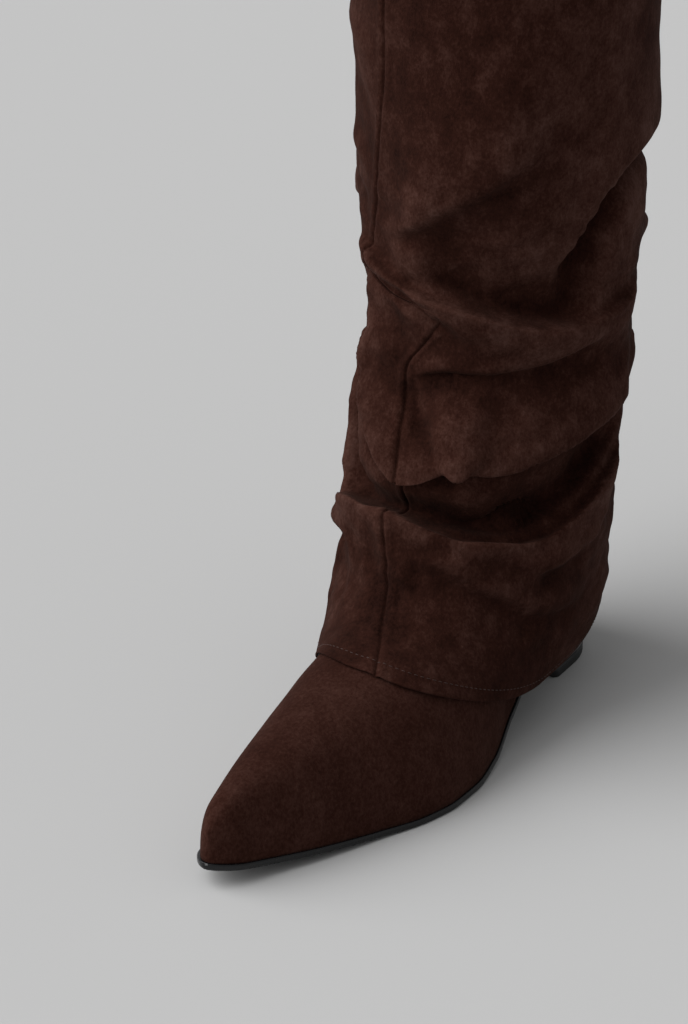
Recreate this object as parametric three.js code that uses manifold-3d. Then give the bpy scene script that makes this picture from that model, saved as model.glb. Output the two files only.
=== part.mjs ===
// A knee-high slouch boot for the left foot: a pointed suede foot on a low block heel, under a loose
// suede shaft whose hem rests on the vamp and hangs over the heel.
// Millimetres, +Z up, toe towards -Y, outer (lateral) side towards +X, standing on the plane z = 0.
import * as THREE from 'three';
import { mergeVertices } from 'three/addons/utils/BufferGeometryUtils.js';
import Module from 'manifold-3d';

const wasm = await Module();
wasm.setup();

// ---- Driving sizes ------------------------------------------------------------------------------
const LENGTH = 277;        // outsole, from the toe tip to the back of the heel seat
const TOE_ROUND = 12;      // length of the rounded tip of the toe
const SEAT_ROUND = 34;     // length of the rounded back of the heel seat
const OUTSOLE = 3;         // thickness of the outsole
const WELT = 1.2;          // how far the outsole's edge stands out past the upper
const UPPER_WALL = 1.8;    // suede and lining of the foot
const SHAFT_WALL = 1.6;    // suede and lining of the shaft
const INSOLE = 2.5;        // thickness of the insole
const INSOLE_GAP = 0.9;    // between the insole's edge and the wall of the foot
const ANKLE = 118;         // height of the foot's own collar, hidden inside the shaft
const HEIGHT = 405;        // floor to the top of the shaft
const HEM = 22;            // floor to the shaft's hem, along the sides and round the heel
const HEM_FRONT = 55;      // floor to the hem on the ridge of the vamp
const HEM_SWEEP = 1.3;     // how evenly the hem falls from the vamp to the sides
const LEG = 375;           // length of the shaft's leather from the hem to the top
const GAP = 0.3;           // between pieces that meet
const TIP = 5;             // thickness of the rubber heel tip
const NARROWEST = 0.6;     // half width of the blunt end of a rounded outline
const END = 0.2;           // how far a blunt end stands in from the outline

// ---- Sole: a row for each station along the foot ------------------------------------------------
// share of the length from the toe, middle of the outline, half width, height of the underside
const SOLE = [
  { share: 0.000, mid: -7.9, half: 8.0, lift: 9.0 },
  { share: 0.055, mid: -5.9, half: 13.0, lift: 6.3 },
  { share: 0.146, mid: -2.4, half: 23.3, lift: 3.4 },
  { share: 0.257, mid: 1.5, half: 34.0, lift: 0.8 },
  { share: 0.331, mid: 4.5, half: 40.5, lift: 0.0 },
  { share: 0.396, mid: 5.9, half: 43.5, lift: 0.0 },
  { share: 0.450, mid: 6.4, half: 43.5, lift: 0.0 },
  { share: 0.524, mid: 6.5, half: 40.8, lift: 1.6 },
  { share: 0.623, mid: 6.0, half: 35.0, lift: 10.0 },
  { share: 0.732, mid: 4.2, half: 31.8, lift: 22.0 },
  { share: 0.845, mid: 2.4, half: 33.0, lift: 31.0 },
  { share: 0.928, mid: 1.8, half: 33.0, lift: 34.5 },
  { share: 1.000, mid: 1.4, half: 32.0, lift: 36.0 },
];

// ---- Foot: height of the ridge over the insole, its offset, fullness of the sides and the crown --
const FOOT = [
  { share: 0.000, ridge: 18, offset: 0.0, side: 0.88, crown: 0.85 },
  { share: 0.055, ridge: 29, offset: -0.3, side: 0.82, crown: 0.92 },
  { share: 0.146, ridge: 38, offset: -1.2, side: 0.78, crown: 1.02 },
  { share: 0.257, ridge: 46, offset: -2.8, side: 0.79, crown: 1.06 },
  { share: 0.361, ridge: 53, offset: -4.4, side: 0.80, crown: 1.08 },
  { share: 0.425, ridge: 58, offset: -4.6, side: 0.79, crown: 1.08 },
  { share: 0.514, ridge: 68, offset: -4.0, side: 0.72, crown: 1.00 },
  { share: 0.613, ridge: 92, offset: -2.0, side: 0.55, crown: 0.80 },
  { share: 0.673, ridge: 124, offset: 0.0, side: 0.42, crown: 0.60 },
  { share: 0.722, ridge: 146, offset: 0.0, side: 0.36, crown: 0.50 },
  { share: 1.000, ridge: 146, offset: 0.0, side: 0.36, crown: 0.50 },
];

// ---- Shaft: a row for each level, 0 at the hem and 1 at the top ---------------------------------
// middle of the section from the toe and across the foot, half length, half width, how far its
// front is skewed outwards and how square it is
const SHAFT = [
  { level: 0.00, middle: 190.5, across: 1.0, long: 89.5, wide: 45.5, skew: 7.0, square: 2.50 },
  { level: 0.03, middle: 203.5, across: 0.0, long: 77.5, wide: 50.0, skew: 3.0, square: 2.35 },
  { level: 0.08, middle: 212.5, across: -0.5, long: 69.0, wide: 53.0, skew: 0.5, square: 2.08 },
  { level: 0.14, middle: 216.0, across: -0.5, long: 66.0, wide: 53.5, skew: 0.0, square: 2.00 },
  { level: 0.25, middle: 222.0, across: 0.0, long: 63.0, wide: 54.8, skew: 0.0, square: 2.00 },
  { level: 0.36, middle: 230.0, across: 0.0, long: 60.5, wide: 54.8, skew: 0.0, square: 2.00 },
  { level: 0.50, middle: 232.5, across: -1.0, long: 63.0, wide: 59.5, skew: 0.0, square: 2.00 },
  { level: 0.70, middle: 233.5, across: -1.0, long: 66.0, wide: 62.7, skew: 0.0, square: 2.00 },
  { level: 1.00, middle: 235.0, across: 0.0, long: 67.5, wide: 66.5, skew: 0.0, square: 2.00 },
];

// A row for each fold. It runs round the shaft between two angles (degrees from the front, positive
// to the outer side) through five heights over the hem, evenly spaced. It stands out (or in) at its
// crest, fades over and under it, and its crest is curled up (or down).
const FOLDS = [
  // rim of the lower roll, and the pocket behind it
  { from: -82, to: 135, path: [104, 57, 52, 69, 98], out: 6, over: 5, under: 17, curl: 4 },
  { from: -78, to: 130, path: [112, 68, 63, 84, 112], out: -6, over: 9, under: 7, curl: -2 },
  // skirt of the middle panel, in two lobes
  { from: -66, to: 40, path: [72, 68, 68, 76, 92], out: 6, over: 16, under: 5, curl: -3 },
  { from: 8, to: 135, path: [80, 84, 100, 116, 130], out: 7, over: 20, under: 5, curl: -3 },
  // valley across the middle panel
  { from: -40, to: 85, path: [116, 119, 124, 131, 137], out: -5, over: 12, under: 14, curl: 0 },
  // roll under the upper panel, the crease under its inner end and the pocket over its outer end
  { from: -62, to: 128, path: [176, 163, 152, 155, 162], out: 8, over: 7, under: 14, curl: 2 },
  { from: -70, to: 24, path: [156, 155, 152, 149, 140], out: -6, over: 4, under: 6, curl: 0 },
  { from: 8, to: 190, path: [170, 166, 212, 230, 226], out: -10, over: 6, under: 10, curl: 0 },
  { from: 56, to: 112, path: [188, 192, 196, 202, 208], out: -6, over: 16, under: 18, curl: 0 },
  // lower edge of the upper panel over the outer side
  { from: 60, to: 170, path: [205, 226, 237, 240, 238], out: 2.5, over: 26, under: 5, curl: -3 },
  // soft creases on the lower roll
  { from: 12, to: 74, path: [29, 27, 26, 25, 23], out: 2.5, over: 9, under: 5, curl: 0 },
  { from: 50, to: 92, path: [42, 46, 50, 55, 58], out: -3, over: 6, under: 6, curl: 0 },
  { from: -62, to: -18, path: [40, 38, 34, 31, 30], out: -2.5, over: 6, under: 6, curl: 0 },
  { from: -70, to: -30, path: [16, 18, 20, 20, 18], out: 2.5, over: 8, under: 7, curl: 0 },
  // inner side: two rolls under the upper panel, over a long smooth panel
  { from: -185, to: -60, path: [236, 226, 206, 196, 190], out: 6, over: 18, under: 6, curl: -3 },
  { from: -180, to: -62, path: [206, 206, 194, 180, 172], out: -6, over: 8, under: 9, curl: 0 },
  { from: -178, to: -58, path: [168, 178, 172, 160, 168], out: 6, over: 6, under: 12, curl: 2 },
  { from: -175, to: -66, path: [150, 154, 146, 138, 134], out: -5, over: 8, under: 9, curl: 0 },
  { from: -170, to: -56, path: [118, 128, 126, 118, 124], out: 6, over: 7, under: 16, curl: 2 },
  { from: -165, to: -80, path: [92, 84, 76, 68, 66], out: -4, over: 10, under: 12, curl: 0 },
  { from: -150, to: -70, path: [50, 48, 46, 50, 56], out: 3, over: 12, under: 12, curl: 0 },
  // back: the rolls meet in short zigzag folds over the heel
  { from: 120, to: 230, path: [210, 206, 196, 186, 190], out: -5, over: 9, under: 9, curl: 0 },
  { from: 118, to: 226, path: [176, 168, 172, 168, 160], out: 5, over: 8, under: 10, curl: 0 },
  { from: 116, to: 232, path: [150, 142, 138, 144, 150], out: -6, over: 8, under: 8, curl: 0 },
  { from: 112, to: 230, path: [114, 118, 110, 108, 112], out: 6, over: 9, under: 10, curl: 0 },
  { from: 118, to: 226, path: [84, 82, 80, 84, 88], out: -6, over: 8, under: 8, curl: 0 },
  { from: 112, to: 232, path: [52, 50, 54, 52, 50], out: 5, over: 12, under: 14, curl: 0 },
  // long soft ripples in the upper panel
  { from: -80, to: -34, path: [300, 298, 296, 294, 292], out: -2.5, over: 14, under: 14, curl: 0 },
  { from: -75, to: -30, path: [262, 260, 258, 258, 256], out: 2, over: 14, under: 14, curl: 0 },
];

// ---- Interpolation ------------------------------------------------------------------------------
// A column of a table at position x, by a monotone cubic, which stays flat between equal rows.
function column(table, at, name, x) {
  const last = table.length - 1;
  let i = 0;
  while (i < last - 1 && x > table[i + 1][at]) i += 1;
  const secant = (k) => (table[k + 1][name] - table[k][name]) / (table[k + 1][at] - table[k][at]);
  const slope = (k) => {
    if (k === 0) return secant(0);
    if (k === last) return secant(last - 1);
    const [before, after] = [secant(k - 1), secant(k)];
    return before * after <= 0 ? 0 : (2 * before * after) / (before + after);
  };
  const step = table[i + 1][at] - table[i][at];
  const t = THREE.MathUtils.clamp((x - table[i][at]) / step, 0, 1);
  const [p, q] = [table[i][name], table[i + 1][name]];
  return (1 + 2 * t) * (1 - t) ** 2 * p + t * (1 - t) ** 2 * step * slope(i)
    + t * t * (3 - 2 * t) * q + t * t * (t - 1) * step * slope(i + 1);
}

const sole = (name, share) => column(SOLE, 'share', name, share);
const foot = (name, share) => column(FOOT, 'share', name, share);
const along = (share) => share * LENGTH;

// A quarter circle's height, from 0 at its end to 1 once past its length.
function quarter(distance, length) {
  const t = THREE.MathUtils.clamp(distance / length, 0, 1);
  return Math.sqrt(1 - (1 - t) ** 2);
}

// Half width of the sole's outline drawn in by an inset, rounded off at the toe and at the back.
function halfWidth(share, inset) {
  const toe = quarter(along(share) - inset, TOE_ROUND);
  const back = quarter(LENGTH - along(share) - inset, SEAT_ROUND);
  return Math.max((sole('half', share) - inset) * toe * back, NARROWEST);
}

// Stations from one share to another, closer together at both ends.
function stations(from, to, count) {
  const share = (i) => from + ((to - from) * (1 - Math.cos((Math.PI * i) / count))) / 2;
  return Array.from({ length: count + 1 }, (_, i) => share(i));
}

// ---- Solids -------------------------------------------------------------------------------------
function solid(points, faces) {
  const geometry = new THREE.BufferGeometry();
  geometry.setAttribute('position', new THREE.Float32BufferAttribute(points.flat(), 3));
  geometry.setIndex(faces.flat());
  const merged = mergeVertices(geometry, 1e-4);
  const vertProperties = merged.attributes.position.array;
  return new wasm.Manifold(new wasm.Mesh({
    numProp: 3,
    vertProperties,
    triVerts: new Uint32Array(merged.index.array),
  }));
}

// Faces between rings of points, round each ring and from each ring to the next. Each four-sided
// gap is split along its shorter diagonal.
function skin(rings, closed) {
  const around = rings[0].length;
  const faces = [];
  const index = (i, j) => (i % rings.length) * around + (j % around);
  const at = (i, j) => new THREE.Vector3(...rings[i % rings.length][j % around]);
  for (let i = 0; i < (closed ? rings.length : rings.length - 1); i += 1) {
    for (let j = 0; j < around; j += 1) {
      const [a, b, c, d] = [index(i, j), index(i, j + 1), index(i + 1, j + 1), index(i + 1, j)];
      const falling = at(i, j + 1).distanceTo(at(i + 1, j)) < at(i, j).distanceTo(at(i + 1, j + 1));
      faces.push(...(falling ? [[a, b, d], [b, c, d]] : [[a, b, c], [a, c, d]]));
    }
  }
  return faces;
}

// A solid through closed sections, front to back, each running up one side and down the other. Its
// ends are closed by strips from side to side.
function loft(sections) {
  const around = sections[0].length;
  const faces = skin(sections, false);
  const end = (sections.length - 1) * around;
  for (let j = 0; 2 * j < around - 2; j += 1) {
    const [k, m, n] = [j + 1, around - 2 - j, around - 1 - j];
    faces.push([j, n, k], [end + j, end + k, end + n]);
    if (k < m) faces.push([k, n, m], [end + k, end + m, end + n]);
  }
  return solid(sections.flat(), faces);
}

// A wall, open at both ends, between rings of outer points and rings of inner points.
function sleeve(outer, inner) {
  const rings = [...outer, ...[...inner].reverse()];
  return solid(rings.flat(), skin(rings, true));
}

function mesh(name, made, material) {
  const { vertProperties, triVerts } = made.getMesh();
  const geometry = new THREE.BufferGeometry();
  geometry.setAttribute('position', new THREE.BufferAttribute(vertProperties, 3));
  geometry.setIndex(new THREE.BufferAttribute(triVerts, 1));
  geometry.computeVertexNormals();
  const piece = new THREE.Mesh(geometry, material);
  piece.name = name;
  return piece;
}

// ---- Outsole and insole -------------------------------------------------------------------------
const SOLE_STATIONS = 32;
const EDGE_BEVEL = 0.7;
const INSOLE_BEVEL = 0.5;

// A plate that follows the sole, drawn in from its edge, between two heights over the underside.
function plate(inset, from, to, bevel) {
  const end = (inset + END) / LENGTH;
  return loft(stations(end, 1 - end, SOLE_STATIONS).map((share) => {
    const half = halfWidth(share, inset);
    const soft = Math.min(bevel, half / 2);
    const side = [[half - soft, to], [half, to - bevel], [half, from + bevel], [half - soft, from]];
    const outline = [...side, ...side.map(([w, z]) => [-w, z]).reverse()];
    return outline.map(([w, z]) => [sole('mid', share) + w, along(share), sole('lift', share) + z]);
  }));
}

const footbed = plate(WELT + UPPER_WALL + INSOLE_GAP, OUTSOLE + GAP, OUTSOLE + GAP + INSOLE, INSOLE_BEVEL);

// ---- Foot ---------------------------------------------------------------------------------------
const FOOT_STATIONS = 32;
const SIDE_POINTS = 9;       // from each edge of the sole up to the ridge
const CROWDING = 1.3;        // how much those points crowd towards the sole where the sides are steep
const LEAN_FROM = 48;        // height over which the back of the foot leans forward
const LEAN = 0.0022;         // how fast it leans
const LEAN_START = 0.72;     // share of the length where the lean begins
const TOE_BLUNT = 0.45;      // share of the ridge's height right at the tip

const base = (share) => sole('lift', share) + OUTSOLE + GAP;
const crest = (share) => sole('mid', share) + foot('offset', share);
const rise = (share) => foot('ridge', share)
  * (TOE_BLUNT + (1 - TOE_BLUNT) * quarter(along(share), TOE_ROUND));

// The closed form of the foot, grown by a margin, down to a height over the insole's seat.
function footForm(margin, floor) {
  const end = (WELT - margin + END) / LENGTH;
  return loft(stations(end, 1 - end, FOOT_STATIONS).map((share) => {
    const half = halfWidth(share, WELT - margin);
    const section = [];
    for (let k = 1; k < 2 * SIDE_POINTS; k += 1) {
      const climb = 1 - Math.abs(k / SIDE_POINTS - 1);
      const turn = (Math.PI / 2) * climb ** (foot('crown', share) ** -CROWDING);
      const edge = sole('mid', share) + half * Math.sign(SIDE_POINTS - k);
      const reach = climb < 1 ? Math.cos(turn) ** foot('side', share) : 0;
      const up = (rise(share) + margin) * Math.sin(turn) ** foot('crown', share);
      section.push([crest(share) + (edge - crest(share)) * reach, base(share) + up]);
    }
    section.push([sole('mid', share) - half, base(share) + floor]);
    section.unshift([sole('mid', share) + half, base(share) + floor]);
    const lean = LEAN * THREE.MathUtils.smoothstep(share, LEAN_START, 1);
    return section.reverse().map(([x, z]) => [x, along(share) - lean * Math.max(z - LEAN_FROM, 0) ** 2, z]);
  }));
}

// Height of the foot's surface over a point of the floor, or 0 beside the foot.
function footTop(x, y) {
  const share = y / LENGTH;
  if (share < 0 || share > 1) return 0;
  const edge = sole('mid', share) + halfWidth(share, WELT) * Math.sign(x - crest(share));
  const reach = Math.abs((x - crest(share)) / (edge - crest(share)));
  if (reach >= 1) return 0;
  const cosine = reach ** (1 / foot('side', share));
  return base(share) + rise(share) * Math.sqrt(1 - cosine * cosine) ** foot('crown', share);
}

function slab(low, high) {
  const box = new THREE.BoxGeometry(LENGTH, 2 * LENGTH, high - low);
  box.translate(0, LENGTH / 2, (low + high) / 2);
  box.deleteAttribute('normal');
  box.deleteAttribute('uv');
  const merged = mergeVertices(box);
  return new wasm.Manifold(new wasm.Mesh({
    numProp: 3,
    vertProperties: merged.attributes.position.array,
    triVerts: new Uint32Array(merged.index.array),
  }));
}

const upper = footForm(0, 0).subtract(footForm(-UPPER_WALL, -HEM)).subtract(slab(ANKLE, HEIGHT));

// ---- Heel ---------------------------------------------------------------------------------------
// its outline at the floor and at the heel seat: front, back, half width and length of its round
const HEEL_FOOT = { front: 228, back: 275, half: 31.0, round: 30.0, mid: 1.8 };
const HEEL_TOP = { front: 219, back: 275.5, half: 31.5, round: 32.0, mid: 1.8 };
const HEEL_STATIONS = 22;
const CORNER = 2.5;          // rounding of its front corners

function block(bottom, top) {
  const outline = (rim, t) => {
    const [ahead, behind] = [(rim.back - rim.front) * t, (rim.back - rim.front) * (1 - t)];
    const corner = CORNER * (1 - quarter(ahead, CORNER));
    return {
      y: rim.front + ahead,
      half: Math.max(rim.half * quarter(behind, rim.round) - corner, NARROWEST),
    };
  };
  return loft(stations(0, 1, HEEL_STATIONS).map((t) => {
    const [low, high] = [outline(HEEL_FOOT, t), outline(HEEL_TOP, t)];
    const seat = sole('lift', high.y / LENGTH) - GAP;
    const at = (z) => THREE.MathUtils.clamp(z / seat, 0, 1);
    const point = (side, z) => {
      const f = at(z);
      const mid = HEEL_FOOT.mid + (HEEL_TOP.mid - HEEL_FOOT.mid) * f;
      return [mid + side * (low.half + (high.half - low.half) * f), low.y + (high.y - low.y) * f, z];
    };
    const roof = top ?? seat;
    return [point(1, roof), point(1, bottom), point(-1, bottom), point(-1, roof)];
  }));
}

// ---- Shaft --------------------------------------------------------------------------------------
const AROUND = 40;
const LOW_LEVELS = 39;       // in the folded part
const HIGH_LEVELS = 6;       // in the upper panel
const FOLDED = 0.68;         // share of the shaft that is folded
const FADE = 0.3;            // share of a fold's run over which each end fades
const CURL = 0.4;            // how much of the curl these solids take
const LYING = 0.2;           // level under which the shaft may lie on the foot
const SETTLE = 2;            // how softly it settles there

function foldPath(path, t) {
  const at = t * (path.length - 1);
  const i = Math.min(Math.floor(at), path.length - 2);
  const get = (k) => path[THREE.MathUtils.clamp(k, 0, path.length - 1)];
  const u = at - i;
  const [a, b, c, d] = [get(i - 1), get(i), get(i + 1), get(i + 2)];
  return b + 0.5 * u * (c - a + u * (2 * a - 5 * b + 4 * c - d + u * (3 * (b - c) + d - a)));
}

// How far the folds push the wall out and up, at an angle and a height over the hem.
function folded(angle, height) {
  const shift = { out: 0, up: 0 };
  const degrees = THREE.MathUtils.radToDeg(angle);
  FOLDS.forEach((fold) => {
    const run = THREE.MathUtils.euclideanModulo(degrees - fold.from, 360);
    const t = run / (fold.to - fold.from);
    if (t >= 1) return;
    const d = height - foldPath(fold.path, t);
    const ends = THREE.MathUtils.smoothstep(t, 0, FADE) * THREE.MathUtils.smoothstep(1 - t, 0, FADE);
    const strength = ends * Math.exp(-((d / (d > 0 ? fold.over : fold.under)) ** 2));
    shift.out += fold.out * strength;
    shift.up += CURL * fold.curl * strength;
  });
  return shift;
}

const hem = (angle) => HEM + (HEM_FRONT - HEM) * Math.max(Math.cos(angle), 0) ** HEM_SWEEP;
const softMax = (a, b, blend) => (a + b + Math.sqrt((a - b) ** 2 + blend * blend)) / 2;

function shaftPoint(angle, level) {
  const row = (name) => column(SHAFT, 'level', name, level);
  const height = level * LEG;
  const { out, up } = folded(angle, height);
  const squared = (value) => Math.sign(value) * Math.abs(value) ** (2 / row('square'));
  const [across, back] = [squared(Math.sin(angle)), -squared(Math.cos(angle))];
  const x = row('across') + (row('wide') + out) * across + row('skew') * Math.max(-back, 0);
  const y = row('middle') + (row('long') + out) * back;
  const z = hem(angle) + level * (HEIGHT - hem(angle)) + up;
  const lying = footTop(x - SHAFT_WALL * across, y - SHAFT_WALL * back) + SHAFT_WALL + 2 * GAP;
  return new THREE.Vector3(x, y, level < LYING ? softMax(z, lying, SETTLE) : z);
}

function shaft() {
  const levels = [
    ...Array.from({ length: LOW_LEVELS }, (_, i) => (FOLDED * i) / LOW_LEVELS),
    ...Array.from({ length: HIGH_LEVELS + 1 }, (_, i) => FOLDED + ((1 - FOLDED) * i) / HIGH_LEVELS),
  ];
  const step = 0.01;
  const rings = (depth) => levels.map((level) => Array.from({ length: AROUND }, (_, j) => {
    const angle = (2 * Math.PI * j) / AROUND;
    const [low, high] = [Math.max(level - step, 0), Math.min(level + step, 1)];
    const around = shaftPoint(angle + step, level).sub(shaftPoint(angle - step, level));
    const up = shaftPoint(angle, high).sub(shaftPoint(angle, low));
    const normal = around.cross(up).normalize();
    return shaftPoint(angle, level).addScaledVector(normal, -depth).toArray();
  }));
  return sleeve(rings(0), rings(SHAFT_WALL));
}

// ---- Assembly -----------------------------------------------------------------------------------
const leather = (color, roughness) => new THREE.MeshStandardMaterial({ color, roughness, metalness: 0 });

const boot = new THREE.Group();
boot.add(
  mesh('outsole', plate(0, 0, OUTSOLE, EDGE_BEVEL), leather(0x0d0e11, 0.3)),
  mesh('heel', block(TIP + GAP, null), leather(0x0d0e11, 0.35)),
  mesh('heel_tip', block(0, TIP), leather(0x101012, 0.6)),
  mesh('upper', upper, leather(0x3b2620, 0.95)),
  mesh('insole', footbed, leather(0x2a1e1a, 0.8)),
  mesh('shaft', shaft(), leather(0x3b2620, 0.95)),
);

const size = new THREE.Box3().setFromObject(boot);
boot.position.set(-(size.min.x + size.max.x) / 2, -(size.min.y + size.max.y) / 2, -size.min.z);

export default boot;
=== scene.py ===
# A knee-high slouch boot in dark brown suede, left foot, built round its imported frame.
# Metres, +Z up, toe towards -Y, outer side towards +X. Tables are in millimetres.
import math

import bmesh
import bpy
import numpy as np
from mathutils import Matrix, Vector, noise


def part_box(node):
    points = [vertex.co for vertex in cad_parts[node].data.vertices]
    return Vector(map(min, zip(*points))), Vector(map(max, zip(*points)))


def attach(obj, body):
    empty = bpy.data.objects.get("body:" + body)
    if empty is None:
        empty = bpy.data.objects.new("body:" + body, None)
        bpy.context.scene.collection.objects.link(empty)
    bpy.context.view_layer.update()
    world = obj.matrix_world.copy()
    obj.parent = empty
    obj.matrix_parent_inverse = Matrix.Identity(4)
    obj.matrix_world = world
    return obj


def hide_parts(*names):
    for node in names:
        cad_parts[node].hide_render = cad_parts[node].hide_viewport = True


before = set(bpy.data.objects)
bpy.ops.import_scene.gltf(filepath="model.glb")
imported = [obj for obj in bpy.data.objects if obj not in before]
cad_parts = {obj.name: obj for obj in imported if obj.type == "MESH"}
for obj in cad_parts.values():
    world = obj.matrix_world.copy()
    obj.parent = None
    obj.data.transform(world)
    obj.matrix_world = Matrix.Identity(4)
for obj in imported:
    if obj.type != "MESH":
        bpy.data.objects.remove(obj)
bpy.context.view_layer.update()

# ---- Camera -------------------------------------------------------------------------------------
# A long lens looks down at the boot from the outer side of its toe. It takes in the foot and the
# shaft up to a hand's width over the folds.
AZIMUTH = math.radians(30.289)
ELEVATION = math.radians(26.894)
AIM = Vector((0.00736, -0.06578, 0.13836))
DISTANCE = 1.92755
LENS = 166.75

camera = bpy.data.objects.new("camera", bpy.data.cameras.new("camera"))
bpy.context.scene.collection.objects.link(camera)
towards = Vector((
    math.sin(AZIMUTH) * math.cos(ELEVATION),
    -math.cos(AZIMUTH) * math.cos(ELEVATION),
    math.sin(ELEVATION),
))
camera.location = AIM + towards * DISTANCE
camera.rotation_euler = towards.to_track_quat("Z", "Y").to_euler()
camera.data.lens = LENS
camera.data.clip_end = 20
bpy.context.scene.camera = camera


# ---- Studio -------------------------------------------------------------------------------------
# A seamless pale grey floor under an even white sky, with one very wide soft light from the inner
# side of the boot and a weak one from high over the toe. Lights: where from, strength, width in degrees.
FLOOR_SIZE = 60.0
FLOOR_GREY = 0.507
SKY = 0.36
KEY = {"from": (-0.86, -0.55, 0.80), "strength": 2.9, "width": 65}
TOP = {"from": (-0.35, -0.5, 1.0), "strength": 0.6, "width": 60}


class Value:
    """A number, colour or direction on its way through a material, for writing its maths plainly."""

    def __init__(self, finish, socket):
        self.finish = finish
        self.socket = socket

    def maths(self, operation, *others):
        """One step of arithmetic on this value."""
        return self.finish.node("Math", {"operation": operation}, self, *others)

    def __add__(self, other):
        return self.maths("ADD", other)

    def __sub__(self, other):
        return self.maths("SUBTRACT", other)

    def __mul__(self, other):
        return self.maths("MULTIPLY", other)

    def __rsub__(self, other):
        return self.finish.node("Math", {"operation": "SUBTRACT"}, other, self)

    __radd__ = __add__
    __rmul__ = __mul__


class Finish:
    """A material in the making: one shader, and the nodes that feed it."""

    def __init__(self, name, **settings):
        self.material = bpy.data.materials.new(name)
        self.material.use_nodes = True
        self.tree = self.material.node_tree
        self.shader = self.tree.nodes["Principled BSDF"]
        for socket, value in settings.items():
            self.shader.inputs[socket.replace("_", " ")].default_value = value

    def node(self, kind, settings, *values, out=0, **named):
        """One node: its type, its settings, then the values or links of its sockets."""
        node = self.tree.nodes.new("ShaderNode" + kind)
        for name, value in settings.items():
            if name == "stops":
                self.stops(node, value)
            else:
                setattr(node, name, value)
        for key, value in [*enumerate(values), *named.items()]:
            socket = node.inputs[key.replace("_", " ") if isinstance(key, str) else key]
            if isinstance(value, Value):
                self.tree.links.new(value.socket, socket)
            elif value is not None:
                socket.default_value = value
        return Value(self, node.outputs[out])

    def stops(self, node, stops):
        """Sets the places and colours of a ramp."""
        ramp = node.color_ramp
        while len(ramp.elements) < len(stops):
            ramp.elements.new(1.0)
        for element, (place, colour) in zip(ramp.elements, stops):
            element.position = place
            element.color = (*colour, 1.0)

    def place(self, stretch=(1.0, 1.0, 1.0)):
        """Where a point is on the boot, in metres, squeezed or stretched along the axes."""
        where = self.node("TexCoord", {}, out=3)
        return self.node("Mapping", {}, where, Scale=stretch)

    def noise(self, size, detail=2.0, stretch=(1.0, 1.0, 1.0), rough=0.5):
        """Soft mottling whose patches are about this many millimetres across."""
        spot = self.place(stretch)
        return self.node("TexNoise", {}, Vector=spot, Scale=1000.0 / size, Detail=detail, Roughness=rough)

    def blend(self, factor, a, b):
        """A colour between a and b."""
        settings = {"data_type": "RGBA", "clamp_factor": True}
        node = self.node("Mix", settings, out=2)
        sockets = node.socket.node.inputs
        for socket, value in ((sockets[0], factor), (sockets[6], a), (sockets[7], b)):
            if isinstance(value, Value):
                self.tree.links.new(value.socket, socket)
            else:
                socket.default_value = (*value, 1.0)
        return node

    def step(self, value, low, high):
        """0 under low, 1 over high, and a smooth rise between them."""
        settings = {"interpolation_type": "SMOOTHSTEP"}
        return self.node("MapRange", settings, value, low, high, 0.0, 1.0)

    def feed(self, **sockets):
        """Links values to the shader's sockets."""
        for name, value in sockets.items():
            self.tree.links.new(value.socket, self.shader.inputs[name.replace("_", " ")])

    def bump(self, height, strength, distance, under=None):
        """A raised pattern, over another one where that is given."""
        return self.node("Bump", {}, Strength=strength, Distance=distance, Height=height, Normal=under)


floor_paint = Finish("floor_paint", Roughness=0.9)
floor_paint.shader.inputs["Base Color"].default_value = (FLOOR_GREY, FLOOR_GREY, FLOOR_GREY, 1.0)
floor_paint.shader.inputs["Specular IOR Level"].default_value = 0.0

half = FLOOR_SIZE / 2
corners = [(-half, -half, 0), (half, -half, 0), (half, half, 0), (-half, half, 0)]
floor_mesh = bpy.data.meshes.new("floor")
floor_mesh.from_pydata(corners, [], [(0, 1, 2, 3)])
floor_mesh.materials.append(floor_paint.material)
floor = bpy.data.objects.new("floor", floor_mesh)
bpy.context.scene.collection.objects.link(floor)

sky = bpy.data.worlds.new("sky")
sky.use_nodes = True
sky.node_tree.nodes["Background"].inputs["Color"].default_value = (1.0, 1.0, 1.0, 1.0)
sky.node_tree.nodes["Background"].inputs["Strength"].default_value = SKY
bpy.context.scene.world = sky
for number, lamp in enumerate((KEY, TOP)):
    light = bpy.data.objects.new(f"light_{number}", bpy.data.lights.new(f"light_{number}", "SUN"))
    light.data.energy = lamp["strength"]
    light.data.angle = math.radians(lamp["width"])
    light.rotation_euler = Vector(lamp["from"]).to_track_quat("Z", "Y").to_euler()
    bpy.context.scene.collection.objects.link(light)
bpy.context.scene.view_settings.view_transform = "Standard"


# ---- Outsole ------------------------------------------------------------------------------------
# A thin moulded sole with a glossy black painted edge that stands a little proud of the suede. It
# lifts at the pointed toe, lies flat under the ball and climbs through the arch to the heel seat.
MM = 0.001
SOLE_LENGTH = 277.0
TOE_ROUND = 12.0
SEAT_ROUND = 34.0
SOLE_THICK = 3.0
SOLE_BEVEL = 0.9
NARROWEST = 0.6
END = 0.2
MIDDLE = 1.8
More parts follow.
